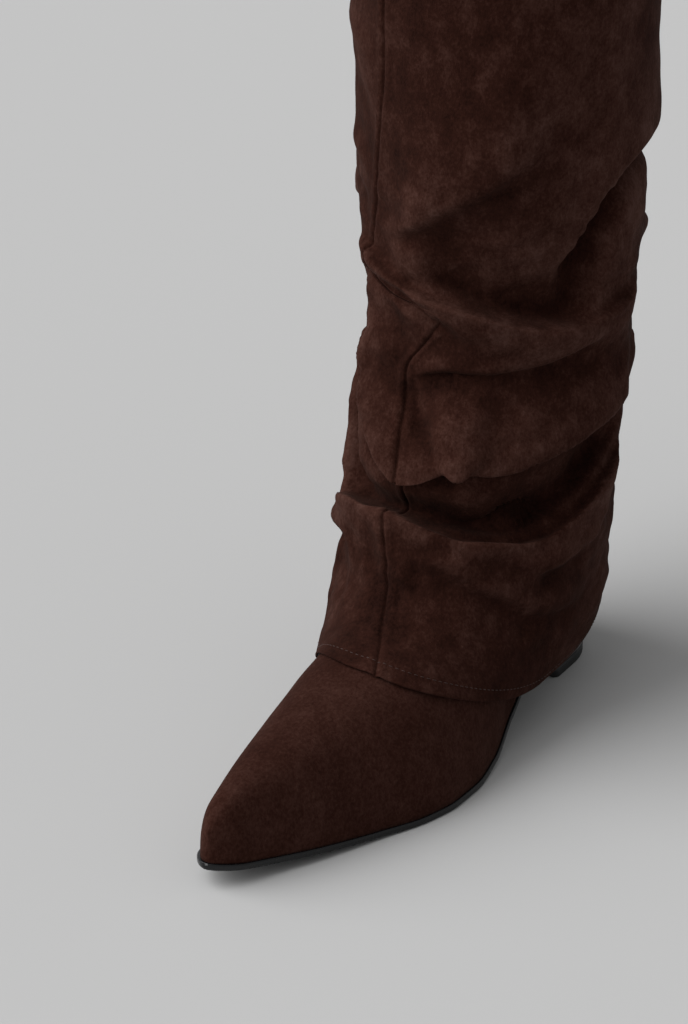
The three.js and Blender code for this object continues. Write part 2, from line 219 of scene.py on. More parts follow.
# share of the length from the toe, middle line to the outer side, half width, and lift off the floor
SOLE = {
    "share": (0.000, 0.055, 0.146, 0.257, 0.331, 0.396, 0.450, 0.524, 0.623, 0.732, 0.845, 0.928, 1.000),
    "mid": (-7.9, -5.9, -2.4, 1.5, 4.5, 5.9, 6.4, 6.5, 6.0, 4.2, 2.4, 1.8, 1.4),
    "half": (8.0, 13.0, 23.3, 34.0, 40.5, 43.5, 43.5, 40.8, 35.0, 31.8, 33.0, 33.0, 32.0),
    "lift": (9.0, 6.3, 3.4, 0.8, 0.0, 0.0, 0.0, 1.6, 10.0, 22.0, 31.0, 34.5, 36.0),
}
toe_tip = Vector((
    (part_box("heel_tip")[0].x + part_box("heel_tip")[1].x) / 2 - MIDDLE * MM,
    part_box("outsole")[0].y - END * MM,
    0.0,
))


def column(table, at, name, x):
    """A column of a table at x, by a monotone cubic that stays flat between equal rows."""
    xs, ys = np.array(table[at], float), np.array(table[name], float)
    secant = np.diff(ys) / np.diff(xs)
    before, after = secant[:-1], secant[1:]
    with np.errstate(divide="ignore", invalid="ignore"):
        inner = np.where(before * after > 0, 2 * before * after / (before + after), 0.0)
    slope = np.concatenate([secant[:1], inner, secant[-1:]])
    i = np.clip(np.searchsorted(xs, x, side="left") - 1, 0, len(xs) - 2)
    step = xs[i + 1] - xs[i]
    t = np.clip((x - xs[i]) / step, 0.0, 1.0)
    return ((1 + 2 * t) * (1 - t) ** 2 * ys[i] + t * (1 - t) ** 2 * step * slope[i]
            + t * t * (3 - 2 * t) * ys[i + 1] + t * t * (t - 1) * step * slope[i + 1])


def sole(name, share):
    """A measure of the sole at a share of its length."""
    return column(SOLE, "share", name, share)


def quarter(distance, length):
    """Rises from 0 to 1 over a length as a quarter of a circle does."""
    return np.sqrt(1 - (1 - np.clip(distance / length, 0, 1)) ** 2)


def half_width(share, inset):
    """Half width of the sole's outline drawn in by an inset, rounded off at the toe and the back."""
    along = share * SOLE_LENGTH
    toe, back = quarter(along - inset, TOE_ROUND), quarter(SOLE_LENGTH - along - inset, SEAT_ROUND)
    return np.maximum((sole("half", share) - inset) * toe * back, NARROWEST)


def stations(low, high, count):
    """Values from low to high that crowd towards both ends."""
    turn = np.linspace(0, np.pi, count + 1)
    return low + (high - low) * (1 - np.cos(turn)) / 2


def make_piece(name, points, faces, finish):
    """A mesh piece of the boot, given in millimetres from the point under the tip of the toe."""
    mesh = bpy.data.meshes.new(name)
    places = np.asarray(points, float).reshape(-1, 3) * MM + np.array(toe_tip)
    mesh.from_pydata(places.tolist(), [], faces)
    mesh.validate()
    mesh.materials.append(finish.material)
    mesh.polygons.foreach_set("use_smooth", [True] * len(mesh.polygons))
    piece = bpy.data.objects.new(name, mesh)
    bpy.context.scene.collection.objects.link(piece)
    return piece


def skin(rings, around, closed):
    """Four-sided faces round each ring and from each ring to the next."""
    faces = []
    for i in range(rings if closed else rings - 1):
        for j in range(around):
            k, n = (j + 1) % around, (i + 1) % rings
            faces.append((i * around + j, i * around + k, n * around + k, n * around + j))
    return faces


def loft(name, sections, finish):
    """A closed piece through sections that run from toe to heel, with flat ends."""
    rings, around = sections.shape[:2]
    faces = skin(rings, around, False)
    faces.append(tuple(range(around))[::-1])
    faces.append(tuple(range((rings - 1) * around, rings * around)))
    return make_piece(name, sections, faces, finish)


def plate(inset, low, high, bevel, count, arc):
    """Sections of a plate that follows the sole, with rounded edges."""
    share = stations((inset + END) / SOLE_LENGTH, 1 - (inset + END) / SOLE_LENGTH, count)
    half = half_width(share, inset)
    soft = np.minimum(bevel, half / 2)
    turn = np.linspace(0, np.pi / 2, arc)
    top = [(half - soft + soft * math.sin(a), high - bevel + bevel * math.cos(a)) for a in turn]
    bottom = [(half - soft + soft * math.cos(a), low + bevel - bevel * math.sin(a)) for a in turn]
    side = top + bottom
    outline = side + [(-w, z) for w, z in reversed(side)]
    mid, along, lift = sole("mid", share), share * SOLE_LENGTH, sole("lift", share)
    return np.stack([np.stack([mid + w, along, lift + z], 1) for w, z in outline], 1)


sole_paint = Finish("sole_paint", IOR=1.42)
speck = sole_paint.noise(3.0, 3.0)
tread = sole_paint.noise(0.8, 2.0, (1.0, 3.0, 1.0))
facing = sole_paint.node("SeparateXYZ", {}, sole_paint.node("NewGeometry", {}, out=1), out=2)
under = sole_paint.step(0.0 - facing, 0.6, 0.95)
worn = speck * 0.4 + under * 0.6
sole_paint.feed(
    Base_Color=sole_paint.blend(worn, (0.0012, 0.0014, 0.0022), (0.010, 0.0095, 0.0095)),
    Roughness=0.2 + 0.14 * speck + 0.4 * under,
    Normal=sole_paint.bump(tread * under + speck * 0.15, 0.35, 0.0004),
)

outsole = loft("outsole_edge", plate(0.0, 0.0, SOLE_THICK, SOLE_BEVEL, 260, 6), sole_paint)
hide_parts("outsole")
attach(outsole, "root")


# ---- Heel ---------------------------------------------------------------------------------------
# A low D-shaped block, lacquered black, nailed up under the heel seat, with a rubber tip that takes
# the wear. Both taper a little towards the floor.
HEEL_FOOT = {"front": 228, "back": 275, "half": 31.0, "round": 30.0}
HEEL_TOP = {"front": 219, "back": 275.5, "half": 31.5, "round": 32.0}
CORNER = 2.5
TIP_THICK = 5.0
GAP = 0.3
ROUNDING = 0.8


def heel_outline(rim, t, inset):
    """Places along the heel and its half widths there, drawn in by an inset."""
    span = rim["back"] - rim["front"] - 2 * inset
    y = rim["front"] + inset + span * t
    half = (rim["half"] - inset) * quarter(span * (1 - t), rim["round"] - inset)
    return y, np.maximum(half - CORNER * (1 - quarter(span * t, CORNER)), NARROWEST)


def heel_block(low, high, count=90):
    """Sections of the block between two heights, or up to the heel seat where high is None."""
    t = stations(0, 1, count)
    seat = sole("lift", heel_outline(HEEL_TOP, t, 0)[0] / SOLE_LENGTH) - GAP
    roof = seat if high is None else np.full_like(t, high)
    part = ROUNDING * 0.3
    levels = [(roof, ROUNDING), (roof - part, part), (roof - ROUNDING, 0.0)]
    levels += [(low + ROUNDING, 0.0), (low + part, part), (low + 0.0 * t, ROUNDING)]
    points = []
    for side, order in ((1, levels), (-1, levels[::-1])):
        for z, inset in order:
            f = np.clip(z / seat, 0, 1)
            foot_y, foot_half = heel_outline(HEEL_FOOT, t, inset)
            top_y, top_half = heel_outline(HEEL_TOP, t, inset)
            x = MIDDLE + side * (foot_half + (top_half - foot_half) * f)
            points.append(np.stack([x, foot_y + (top_y - foot_y) * f, z + 0.0 * t], 1))
    return np.stack(points, 1)


lacquer = Finish("heel_lacquer", IOR=1.5, Coat_Weight=0.4, Coat_Roughness=0.1)
cloud = lacquer.noise(6.0, 3.0)
scuff = lacquer.step(lacquer.noise(2.2, 4.0, (1.0, 1.0, 3.0)), 0.62, 0.72)
lacquer.feed(
    Base_Color=lacquer.blend(scuff * 0.35, (0.004, 0.004, 0.005), (0.03, 0.028, 0.027)),
    Roughness=0.22 + 0.12 * cloud + 0.25 * scuff,
    Normal=lacquer.bump(cloud, 0.12, 0.0005),
)
rubber = Finish("tip_rubber", IOR=1.45)
grain = rubber.noise(0.7, 3.0)
rubber.feed(
    Base_Color=rubber.blend(grain, (0.006, 0.006, 0.007), (0.016, 0.0155, 0.015)),
    Roughness=0.5 + 0.2 * grain,
    Normal=rubber.bump(grain, 0.3, 0.0003),
)

heel = loft("heel_block", heel_block(TIP_THICK + GAP, None), lacquer)
tip = loft("heel_rubber_tip", heel_block(0.0, TIP_THICK), rubber)
for piece, node, slot in ((heel, "heel", "heel_block"), (tip, "heel_tip", "heel_rubber")):
    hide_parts(node)
    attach(piece, "root")


# ---- Foot ---------------------------------------------------------------------------------------
# The vamp and quarters, one skin of suede pulled over the last and lasted under the insole. Its own
# collar stays hidden inside the shaft.
WELT = 1.2
FOOT_WALL = 1.8
ANKLE = 118.0
TOE_BLUNT = 0.45
# over this height the back of the heel leans forwards
LEAN_FROM = 48.0
LEAN = 0.0022
LEAN_START = 0.72
# share of the length, height of the ridge over the sole, its shift to the outer side, and the powers
# that swell or flatten the sides and the crown
FOOT = {
    "share": (0.000, 0.055, 0.146, 0.257, 0.361, 0.425, 0.514, 0.613, 0.673, 0.722, 1.000),
    "ridge": (18, 29, 38, 46, 53, 58, 68, 92, 124, 146, 146),
    "offset": (0.0, -0.3, -1.2, -2.8, -4.4, -4.6, -4.0, -2.0, 0.0, 0.0, 0.0),
    "side": (0.88, 0.82, 0.78, 0.79, 0.80, 0.79, 0.72, 0.55, 0.42, 0.36, 0.36),
    "crown": (0.85, 0.92, 1.02, 1.06, 1.08, 1.08, 1.00, 0.80, 0.60, 0.50, 0.50),
}


def foot(name, share):
    """A measure of the foot at a share of its length."""
    return column(FOOT, "share", name, share)


def base(share):
    """Height of the top of the sole."""
    return sole("lift", share) + SOLE_THICK + GAP


def crest(share):
    """Where the ridge runs, from the middle to the outer side."""
    return sole("mid", share) + foot("offset", share)


def rise(share):
    """Height of the ridge over the sole, rounded off at the toe."""
    blunt = TOE_BLUNT + (1 - TOE_BLUNT) * quarter(share * SOLE_LENGTH, TOE_ROUND)
    return foot("ridge", share) * blunt


def smooth(t):
    """A soft step from 0 to 1."""
    t = np.clip(t, 0, 1)
    return t * t * (3 - 2 * t)


def foot_sections(count, climb_points):
    """Sections of the foot's skin, each from the outer edge of the sole over the ridge to the inner."""
    share = stations((WELT + END) / SOLE_LENGTH, 1 - (WELT + END) / SOLE_LENGTH, count)[:, None]
    climb = np.concatenate([np.linspace(0, 1, climb_points), np.linspace(1, 0, climb_points)[1:]])[None]
    side = np.sign(np.linspace(1, -1, climb.shape[1]))[None]
    turn = (np.pi / 2) * climb ** (foot("crown", share) ** -1.3)
    half = half_width(share, WELT)
    edge = sole("mid", share) + half * side
    reach = np.clip(np.cos(turn), 0, 1) ** foot("side", share)
    up = rise(share) * np.clip(np.sin(turn), 0, 1) ** foot("crown", share)
    x = crest(share) + (edge - crest(share)) * reach
    z = base(share) + up - GAP * smooth(1 - up / 2)
    lean = LEAN * smooth((share - LEAN_START) / (1 - LEAN_START))
    y = share * SOLE_LENGTH - lean * np.maximum(z - LEAN_FROM, 0) ** 2
    return np.stack([x, y + 0.0 * x, z], -1)


def foot_top(x, y):
    """Height of the foot's surface over a point of the floor, or 0 beside the foot."""
    share = np.clip(y / SOLE_LENGTH, 0, 1)
    edge = sole("mid", share) + half_width(share, WELT) * np.sign(x - crest(share))
    reach = np.abs((x - crest(share)) / (edge - crest(share)))
    cosine = np.clip(reach, 0, 1) ** (1 / foot("side", share))
    over = base(share) + rise(share) * np.sqrt(1 - cosine * cosine) ** foot("crown", share)
    return np.where(reach < 1, over, 0.0)


def suede(name, patchy, middle):
    """Brushed suede: a short nap lying in soft patches, rubbed pale on the ridges with a painted sheen,
    and painted shade in the folds.
    """
    finish = Finish(name, IOR=1.4, Sheen_Weight=0.03, Sheen_Roughness=0.5)
    finish.shader.inputs["Sheen Tint"].default_value = (0.75, 0.42, 0.33, 1.0)
    finish.shader.inputs["Specular IOR Level"].default_value = 0.06
    drift = finish.noise(60.0, 2.0)
    patch = finish.noise(20.0, 4.0, (1.0, 1.0, 0.75), rough=0.6)
    cloud = finish.noise(6.5, 5.0, (1.0, 1.0, 0.75), rough=0.62)
    # lift paints shade into the folds and hollows, and rubbed wear with a painted sheen onto the ridges
    lift = finish.node("Attribute", {"attribute_name": "lift"}, out=2)
    fleck = finish.noise(1.5, 3.0, (1.0, 1.0, 0.8), rough=0.6)
    nap = finish.noise(0.6, 2.0, (1.0, 1.0, 0.55))
    turned = finish.step(patch * 0.6 + cloud * 0.4, 0.50, 0.66)
    smoothed = finish.step(patch * 0.5 + drift * 0.5, 0.50, 0.36)
    # 0 is the darkest suede, painted shade deep in a fold; 1 the palest, rubbed pale on a ridge with a
    # painted sheen
    tone = (middle + (patch + drift - 1.0) * (0.6 * patchy) + (cloud - 0.5) * (0.7 * patchy)
            + (fleck - 0.5) * 0.75 + (nap - 0.5) * 0.4 + lift * 0.24
            + turned * (0.06 * patchy) - smoothed * (0.12 * patchy))
    colour = finish.node(
        "ValToRGB", {"stops": [
            (0.05, (0.0095, 0.0029, 0.0019)),
            (0.50, (0.0255, 0.0085, 0.0057)),
            (0.78, (0.0440, 0.0180, 0.0132)),
            (1.0, (0.0620, 0.0290, 0.0225)),
        ]}, tone)
    finish.feed(
        Base_Color=colour,
        Roughness=0.98 - 0.1 * turned,
        Normal=finish.bump(nap, 0.5, 0.0003, finish.bump(cloud * 0.5 + fleck * 0.5, 0.55, 0.0010)),
    )
    return finish


def trim_over(piece, height):
    """Cuts a piece off level at a height, as with shears."""
    work = bmesh.new()
    work.from_mesh(piece.data)
    bmesh.ops.bisect_plane(
        work, geom=[*work.verts, *work.edges, *work.faces], plane_co=(0, 0, height), plane_no=(0, 0, 1),
        clear_outer=True)
    work.to_mesh(piece.data)
    work.free()


def apply_modifiers(piece):
    """Makes what the piece's modifiers give its own mesh."""
    bpy.context.view_layer.update()
    evaluated = piece.evaluated_get(bpy.context.evaluated_depsgraph_get())
    piece.data = bpy.data.meshes.new_from_object(evaluated)
    piece.modifiers.clear()


foot_suede = suede("foot_suede", 0.55, 0.58)
sections = foot_sections(220, 46)
rings, around = sections.shape[:2]
faces = [
    (i * around + j, i * around + j + 1, (i + 1) * around + j + 1, (i + 1) * around + j)[::-1]
    for i in range(rings - 1) for j in range(around - 1)
]
faces += [tuple(range(around)), tuple(range((rings - 1) * around, rings * around))[::-1]]
vamp = make_piece("foot_upper", sections, faces, foot_suede)
trim_over(vamp, ANKLE * MM)
wall = vamp.modifiers.new("wall", "SOLIDIFY")
wall.thickness = FOOT_WALL * MM
wall.offset = -1.0
apply_modifiers(vamp)
vamp.data.polygons.foreach_set("use_smooth", [True] * len(vamp.data.polygons))
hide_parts("upper")
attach(vamp, "root")


# ---- Insole -------------------------------------------------------------------------------------
# A smooth brown leather sock glued over the whole footbed inside the boot. It follows the sole's
# outline, drawn in by the wall of the foot.
INSOLE_THICK = 2.5
INSOLE_BEVEL = 0.7
INSOLE_CLEAR = 0.9
INSOLE_INSET = WELT + FOOT_WALL + INSOLE_CLEAR

sock_leather = Finish("insole_leather", IOR=1.45)
pores = sock_leather.node("TexVoronoi", {"feature": "F1"}, Vector=sock_leather.place(), Scale=900.0)
shade = sock_leather.noise(18.0, 3.0)
sock_leather.feed(
    Base_Color=sock_leather.blend(shade, (0.035, 0.018, 0.012), (0.065, 0.036, 0.025)),
    Roughness=0.5 + 0.2 * shade,
    Normal=sock_leather.bump(pores, 0.2, 0.0003),
)
bed = SOLE_THICK + GAP
sock = plate(INSOLE_INSET, bed, bed + INSOLE_THICK, INSOLE_BEVEL, 160, 4)
insole = loft("insole_sock", sock, sock_leather)
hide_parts("insole")
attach(insole, "root")


# ---- Shaft --------------------------------------------------------------------------------------
# A wide leg of suede, cut much longer than the leg it covers, so that it slumps into rolls over the
# ankle. One seam runs down the front and one down the back. Its hem is turned and stitched, lies on
# the vamp and hangs free round the heel.
HEIGHT = 405.0
HEM = 22.0
HEM_FRONT = 55.0
HEM_SWEEP = 1.3
LEG = 375.0
SUEDE = 0.9
CLEAR = 0.3
AROUND = 240
LEVELS = 320
# share of the leg's length, centre from the toe and to the outer side, half length and half width,
# shift of the front to the outer side, and the power that squares the oval
SHAFT = {
    "level": (0.00, 0.03, 0.08, 0.14, 0.25, 0.36, 0.50, 0.70, 1.00),
    "middle": (190.5, 203.5, 212.5, 216.0, 222.0, 230.0, 232.5, 233.5, 235.0),
    "across": (1.0, 0.0, -0.5, -0.5, 0.0, 0.0, -1.0, -1.0, 0.0),
    "long": (89.5, 77.5, 69.0, 66.0, 63.0, 60.5, 63.0, 66.0, 67.5),
    "wide": (45.5, 50.0, 53.0, 53.5, 54.8, 54.8, 59.5, 62.7, 66.5),
    "skew": (7.0, 3.0, 0.5, 0.0, 0.0, 0.0, 0.0, 0.0, 0.0),
    "square": (2.50, 2.35, 2.08, 2.00, 2.00, 2.00, 2.00, 2.00, 2.00),
}
# how the front seam wanders, in degrees from the front, positive to the outer side
FRONT_SEAM = {
    "height": (0, 10, 30, 56, 74, 100, 118, 138, 146, 152, 160, 180, 215, 266, 375),
    "angle": (4, 0, -4, -6, -5, -8, -11, 2, 5, -20, -36, -33, -28, -22, -22),
}
# Each fold runs round the shaft through a few places: degrees from the front (positive to the outer
# side) and height over the hem along the leather. Then come how far its crest stands out (or in),
# how far it fades over and under the crest, how far the crest is curled up (or down), and the share
# of its run over which each end fades.
FOLDS = (
    # the upturned rim of the lower roll, tallest on the inner side, and the dark slot behind it
    (((-54, 56), (-44, 53.5), (-34, 52), (-24, 51.5), (-4, 50), (12, 48), (30, 46.5), (48, 49),
      (62, 55), (76, 67), (90, 80), (104, 88), (116, 94)), 7.0, 2.8, 16.0, 7.5, 0.16),
    (((-76, 134), (-69, 124), (-63, 106), (-58, 82), (-52, 60), (-44, 54), (-32, 52.5),
      (-20, 51.5)), 3.5, 2.8, 14.0, 2.5, 0.26),
    (((-76, 142), (-66, 134), (-58, 116), (-51, 90), (-45, 68), (-37, 60.5), (-22, 58.5),
      (-4, 57.5), (12, 57), (30, 58.5), (48, 63), (62, 73), (76, 85), (90, 96), (102, 101),
      (114, 104)), -9.0, 8.0, 3.8, -4.5, 0.12),
    (((30, 66), (46, 74), (62, 87), (78, 99), (92, 108), (106, 114)), -5.0, 11.0, 12.0, 0.0, 0.35),
    # skirt of the middle panel: a short lobe from the inner side, and a long one over it
    (((-46, 136), (-36, 112), (-28, 99), (-20, 88), (-12, 80), (-4, 75), (6, 78), (14, 84),
      (24, 92), (34, 102)), 7.0, 15.0, 2.8, -4.5, 0.16),
    (((6, 93), (14, 89), (26, 88), (38, 91), (50, 98), (62, 105), (74, 112), (86, 120), (98, 127),
      (110, 132)), 7.5, 18.0, 3.0, -5.0, 0.2),
    (((-14, 114), (-6, 104), (2, 95), (10, 90), (18, 88)), -3.0, 5.0, 4.0, 0.0, 0.3),
    (((-4, 102), (6, 101), (20, 103), (36, 107)), 2.0, 6.0, 7.0, 0.0, 0.4),
    # underside of the roll over it, and the valley across the middle panel
    (((-14, 110), (0, 115), (14, 118.5), (28, 121), (42, 125), (56, 131), (68, 139), (84, 148)),
     -5.5, 3.0, 13.0, 1.5, 0.22),
    (((-46, 122), (-38, 128), (-30, 132), (-22, 130), (-14, 124)), 3.0, 8.0, 8.0, 0.0, 0.3),
    # the roll under the upper panel, and the crisp crease under its inner end
    (((-56, 172), (-44, 171), (-32, 165), (-20, 158), (-8, 153), (8, 150), (28, 148), (48, 147),
      (62, 149), (76, 155), (92, 160), (114, 164)), 6.5, 3.5, 13.0, 3.0, 0.16),
    (((-62, 160), (-50, 160), (-38, 160), (-28, 157), (-14, 153), (-1, 146), (9, 141), (18, 136)),
     -4.5, 2.4, 4.5, -2.0, 0.22),
    # the hollow that the upper panel sinks into over that roll, and the pocket up its outer edge
    (((-6, 166), (12, 160), (28, 156), (42, 154), (54, 155), (66, 162), (78, 174)),
     -8.5, 30.0, 3.5, -1.0, 0.2),
    (((52, 170), (62, 178), (70, 192), (77, 208), (86, 219), (98, 224), (114, 225), (134, 224),
      (160, 221), (186, 218)), -12.0, 4.5, 9.0, 0.0, 0.14),
    # edge of the upper panel over the pocket
    (((56, 186), (64, 194), (71, 208), (78, 222), (88, 231), (104, 234), (128, 235), (160, 232),
      (186, 228)), 3.2, 24.0, 4.0, -3.0, 0.16),
    # the diagonal edge low in the upper panel, over that hollow
    (((-24, 180), (-14, 187), (0, 197), (12, 207), (24, 218), (36, 230), (52, 242)),
     6.0, 24.0, 5.5, -2.0, 0.3),
    (((-30, 172), (-18, 172), (-4, 172), (10, 174), (24, 178)), 2.0, 7.0, 7.0, 0.0, 0.4),
    # soft creases on the lower roll
    (((12, 29), (28, 27), (44, 25), (58, 23), (72, 25), (92, 28)), -1.8, 3.0, 5.0, 0.0, 0.3),
    (((10, 36), (28, 35), (44, 33), (58, 31), (74, 32), (94, 36)), 2.4, 8.0, 4.0, -1.0, 0.3),
    (((46, 40), (56, 42), (66, 47), (78, 54), (92, 63), (104, 70)), 2.6, 5.0, 3.0, -1.5, 0.3),
    (((54, 36), (64, 40), (76, 46), (90, 54)), -3.0, 4.0, 4.0, 0.0, 0.35),
    (((-70, 36), (-56, 38), (-42, 34), (-34, 31), (-22, 30)), -1.6, 4.0, 5.0, 0.0, 0.4),
    (((-60, 46), (-52, 47), (-44, 45), (-34, 42)), 1.6, 4.0, 4.0, 0.0, 0.4),
    (((-54, 50), (-44, 44), (-34, 39), (-24, 30)), 2.2, 4.0, 4.0, 0.0, 0.35),
    (((-56, 30), (-46, 28), (-36, 22), (-27, 13)), -2.0, 4.0, 4.5, 0.0, 0.35),
    (((-16, 44), (-4, 36), (5, 28), (12, 18)), 2.0, 5.0, 4.0, 0.0, 0.35),
    (((-20, 34), (-10, 27), (-3, 20), (2, 12)), -1.8, 3.5, 4.0, 0.0, 0.35),
    (((22, 41), (36, 39), (50, 40), (64, 44)), -2.0, 3.0, 5.0, 0.0, 0.3),
    # inner side: two rolls under the upper panel, over a long smooth panel
    (((-188, 236), (-160, 230), (-130, 214), (-104, 202), (-84, 196), (-58, 190)),
     6.0, 18.0, 4.5, -5.0, 0.2),
    (((-184, 210), (-160, 212), (-132, 203), (-108, 190), (-86, 180), (-60, 174)),
     -7.0, 7.0, 7.0, 0.0, 0.2),
    (((-182, 166), (-156, 176), (-130, 178), (-104, 166), (-82, 160), (-56, 168)),
     6.0, 5.0, 11.0, 3.0, 0.2),
    (((-180, 150), (-156, 156), (-130, 150), (-104, 140), (-84, 136), (-66, 134)),
     -5.5, 6.0, 7.0, 0.0, 0.2),
    (((-176, 118), (-152, 126), (-128, 130), (-104, 122), (-82, 116), (-64, 122)),
     6.0, 5.0, 16.0, 3.0, 0.2),
    (((-168, 96), (-144, 88), (-120, 78), (-100, 70), (-82, 66)), -4.0, 9.0, 9.0, 0.0, 0.3),
    (((-160, 62), (-138, 54), (-114, 46), (-92, 46), (-70, 54)), 3.0, 10.0, 9.0, 0.0, 0.3),
    # back: the rolls meet in short zigzag folds over the heel
    (((120, 212), (146, 204), (172, 192), (198, 186), (228, 190)), -5.5, 6.0, 7.0, 0.0, 0.25),
    (((116, 184), (144, 172), (170, 168), (196, 174), (226, 166)), 5.0, 6.0, 10.0, 2.5, 0.25),
    (((114, 150), (142, 146), (170, 136), (198, 142), (232, 152)), -6.0, 6.0, 6.0, 0.0, 0.25),
    (((110, 112), (136, 122), (164, 112), (194, 104), (230, 110)), 6.0, 6.0, 9.0, 2.5, 0.25),
    (((112, 86), (140, 84), (168, 76), (198, 82), (226, 88)), -6.0, 6.0, 6.0, 0.0, 0.25),
    (((108, 52), (138, 48), (168, 56), (200, 54), (232, 48)), 4.0, 9.0, 14.0, 0.0, 0.3),
    # short cross folds between the rolls, back and inner side
    (((128, 160), (146, 154), (160, 142)), 2.5, 5.0, 5.0, 0.0, 0.4),
    (((176, 136), (190, 124), (204, 116)), -2.5, 5.0, 5.0, 0.0, 0.4),
    (((-150, 112), (-132, 104), (-112, 96)), -2.2, 6.0, 6.0, 0.0, 0.4),
    (((-120, 152), (-104, 148), (-90, 138)), 2.0, 5.0, 5.0, 0.0, 0.4),
    # puckers between the front seam and the inner side
    (((-74, 340), (-58, 338), (-40, 334), (-24, 328)), -1.6, 6.0, 8.0, 0.0, 0.35),
    (((-70, 304), (-54, 300), (-38, 294), (-24, 290)), -1.8, 6.0, 8.0, 0.0, 0.35),
    (((-72, 276), (-56, 273), (-40, 268), (-26, 260)), 1.6, 6.0, 7.0, 0.0, 0.35),
    (((-68, 250), (-54, 247), (-40, 242), (-28, 234)), -1.8, 5.0, 7.0, 0.0, 0.35),
    (((-66, 222), (-52, 218), (-40, 212), (-30, 204)), 1.6, 5.0, 6.0, 0.0, 0.35),
    (((-64, 200), (-52, 197), (-42, 193), (-34, 186)), -1.8, 4.0, 5.0, 0.0, 0.35),
    # long soft ripples in the upper panel
    (((-60, 230), (-48, 228), (-34, 222), (-22, 214)), -1.2, 12.0, 12.0, 0.0, 0.4),
    (((10, 262), (30, 268), (52, 266), (70, 258)), 1.3, 22.0, 18.0, 0.0, 0.4),
    (((-10, 300), (14, 292), (40, 290), (66, 298)), -1.1, 22.0, 20.0, 0.0, 0.4),
)
# the leather rests on the foot below this share of its length and in front of this place
LYING = 0.2
LAID = 215.0
SETTLE = 1.2
# mean radius of the shaft
GIRTH = 58.0
# the columns of the mesh crowd towards both seams, and most of its rows lie in the folded part
CROWD = 0.38
FOLDED = 0.66
PLAIN_ROWS = 44
SEAM_REACH = 0.55
# two sizes of dent: how fast each changes across and up, per millimetre, and how deep it is
BROAD_DENT = {"across": 0.045, "up": 0.075, "deep": 0.7}
FINE_DENT = {"across": 0.11, "up": 0.17, "deep": 0.35}


def folded(angle, height):
    """How far the folds push the wall out and up at an angle and a height over the hem."""
    out, up = np.zeros_like(angle), np.zeros_like(angle)
    for places, stand, over, under, curl, fade in FOLDS:
        path = {"angle": [place[0] for place in places], "height": [place[1] for place in places]}
        start, end = path["angle"][0], path["angle"][-1]
        run = start + np.mod(np.degrees(angle) - start, 360)
        inside = run < end
        run = np.minimum(run, end)
        crest, ahead = column(path, "angle", "height", run), column(path, "angle", "height", run + 1)
        slope = (ahead - crest) / (GIRTH * math.radians(1))
        d = (height - crest) / np.sqrt(1 + slope * slope)
        t = (run - start) / (end - start)
        strength = inside * smooth(t / fade) * smooth((1 - t) / fade)
        strength = strength * np.exp(-np.abs(d / np.where(d > 0, over, under)) ** 2)
        out += stand * strength
        up += curl * strength
    return out, up


def signed_power(value, exponent):
    """A power that keeps the sign."""
    return np.sign(value) * np.abs(value) ** exponent


def hem_height(angle):
    """Height of the hem over the floor, raised over the foot."""
    return HEM + (HEM_FRONT - HEM) * np.maximum(np.cos(angle), 0) ** HEM_SWEEP


def shaft_surface(angle, level):
    """Points of the outer face of the shaft, in millimetres from under the tip of the toe."""
    row = {name: column(SHAFT, "level", name, level) for name in SHAFT if name != "level"}
    out, up = folded(angle, level * LEG)
    across = signed_power(np.sin(angle), 2 / row["square"])
    back = -signed_power(np.cos(angle), 2 / row["square"])
    x = row["across"] + (row["wide"] + out) * across + row["skew"] * np.maximum(-back, 0)
    y = row["middle"] + (row["long"] + out) * back
    hem = hem_height(angle)
    z = hem + level * (HEIGHT - hem) + up
    lying = foot_top(x - SUEDE * across, y - SUEDE * back) + SUEDE + CLEAR
    settled = (z + lying + np.sqrt((z - lying) ** 2 + SETTLE ** 2)) / 2
    return np.stack([x, y, np.where((level < LYING) & (y < LAID), settled, z)], -1)


def dents(point):
    """Small dents and puckers at a point, in millimetres."""
    x, y, z = point
    wide, small = BROAD_DENT, FINE_DENT
    broad = noise.noise(Vector((x * wide["across"], y * wide["across"], z * wide["up"])))
    fine = noise.noise(Vector((x * small["across"] + 7, y * small["across"], z * small["up"])))
    return broad * wide["deep"] + fine * small["deep"]


def normals(grid):
    """Unit directions out of a grid of points that runs round the shaft and up it."""
    around = np.roll(grid, -1, 1) - np.roll(grid, 1, 1)
    up = np.gradient(grid, axis=0)
    normal = np.cross(around, up)
    return normal / np.linalg.norm(normal, axis=-1, keepdims=True)


def push(amount):
    """Moves every point of the shaft's face out by its amount."""
    return surface + normals(surface) * amount[..., None]


turns = np.linspace(-np.pi, np.pi, AROUND, endpoint=False)
crowded = turns - CROWD * np.sin(2 * turns)
folded_levels = np.linspace(0, FOLDED, LEVELS - PLAIN_ROWS, endpoint=False)
levels = np.concatenate([folded_levels, np.linspace(FOLDED, 1, PLAIN_ROWS)])
turn, level = np.meshgrid(crowded, levels)
height = level * LEG
# the columns near the front follow the front seam
seam = np.radians(column(FRONT_SEAM, "height", "angle", height))
angle = turn + seam * smooth(1 - np.abs(turn) / (SEAM_REACH * np.pi))
surface = shaft_surface(angle, level)

# the dents are stronger in the slumped part, given in shares of the leg's length, and fade out at
# the hem
SLUMP = {"start": 0.05, "end": 0.62, "fade": 0.15, "hem": 0.04}
DENT_PLAIN = 0.5
DENT_SLUMPED = 1.7
slump = smooth((SLUMP["end"] - level) / SLUMP["fade"]) * smooth(level / SLUMP["start"])
dent = np.array([dents(point) for point in surface.reshape(-1, 3)]).reshape(level.shape)
surface = push(dent * (DENT_PLAIN + DENT_SLUMPED * slump) * smooth(level / SLUMP["hem"]))

